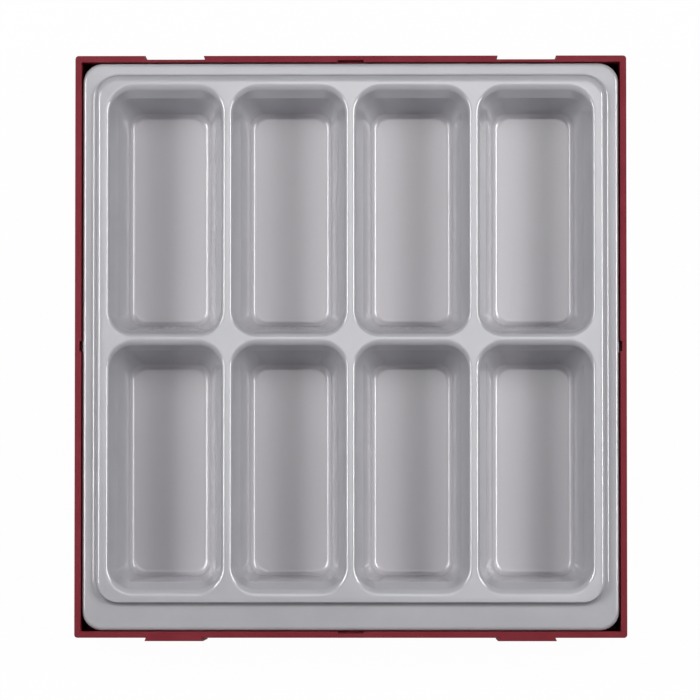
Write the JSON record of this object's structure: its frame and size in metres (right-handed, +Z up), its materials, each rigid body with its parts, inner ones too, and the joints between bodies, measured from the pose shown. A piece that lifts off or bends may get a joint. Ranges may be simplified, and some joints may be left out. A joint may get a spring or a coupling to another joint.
{
  "type": "compartment tray",
  "caption": "Shallow rectangular tray with dovetail edges that link to its neighbours, holding a lift-out formed insert of rounded pockets that sort small parts.",
  "frame": {"origin": "middle of the tray's flat underside, leaving the dovetail tongues out of the measure", "axes": "+Z up, +X to the right along a row of pockets, +Y towards the wall with the dovetail sockets"},
  "size_m": [0.251, 0.2665, 0.043],
  "materials": {
    "tray_plastic": "moulded, fine satin",
    "insert_sheet": "thermoformed sheet, semi-gloss"
  },
  "bodies": {
    "tray": {"outer_tray": "tray_plastic"},
    "insert": {"compartment_insert": "insert_sheet"}
  },
  "joints": [
    {"name": "insert_lift", "type": "slide", "parent": "tray", "child": "insert", "axis": [0, 0, 1], "range_m": [0, 0.05]}
  ]
}
